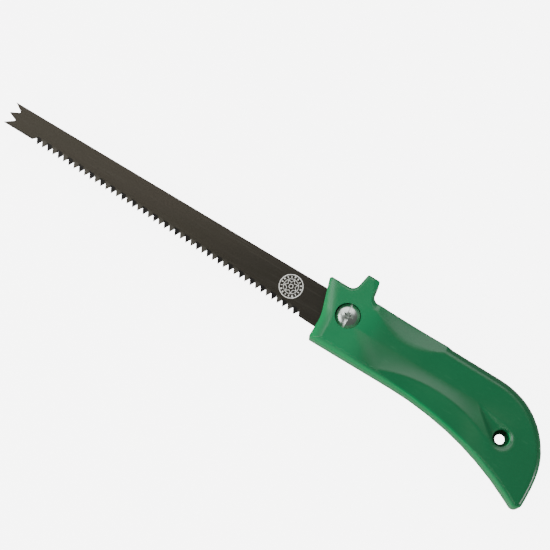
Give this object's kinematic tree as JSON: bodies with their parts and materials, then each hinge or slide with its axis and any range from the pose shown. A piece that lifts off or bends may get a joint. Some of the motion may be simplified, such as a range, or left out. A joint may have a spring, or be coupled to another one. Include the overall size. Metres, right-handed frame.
{
  "type": "drywall saw",
  "caption": "Jab saw for plasterboard: a moulded pistol grip with finger scoops and a thumb guard, and a push-in toothed blade with a forked tip, clamped by a recessed screw.",
  "frame": {"origin": "centre of the bounding box in plan, at the lowest face: the land on the handle's back, on which the saw lies", "axes": "+X along the blade's back from the forked tip to the handle's end, +Y from the toothed edge to the blade's back and the thumb guard, +Z out of the face that holds the screw's head"},
  "size_m": [0.3142, 0.0606, 0.019],
  "materials": {
    "green_plastic": "glossy moulded polypropylene",
    "dark_steel": "dark brown oxide coating, satin",
    "screw_zinc": "bright zinc plate",
    "washer_zinc": "bright zinc plate",
    "nut_zinc": "bright zinc plate"
  },
  "bodies": {
    "handle": {"handle": "green_plastic", "hex_nut": "nut_zinc"},
    "washers": {"lock_washer": "washer_zinc", "flat_washer": "washer_zinc"},
    "screw": {"clamp_screw": "screw_zinc"},
    "blade": {"blade": "dark_steel"}
  },
  "joints": [
    {"name": "screw_travel", "type": "slide", "parent": "handle", "child": "washers", "axis": [0, 0, 1], "range_m": [0, 0.0035]},
    {"name": "screw_turn", "type": "hinge", "parent": "washers", "child": "screw", "pos_m": [0.03913, 0.00769, 0.0145], "axis": [0, 0, 1], "range_deg": [0, 1260]},
    {"name": "blade_slide", "type": "slide", "parent": "handle", "child": "blade", "axis": [-1, 0, 0], "range_m": [0, 0.032]}
  ],
  "couplings": [
    {"joint": "screw_turn", "follows": "screw_travel", "rad_per_m": 6283.2}
  ]
}
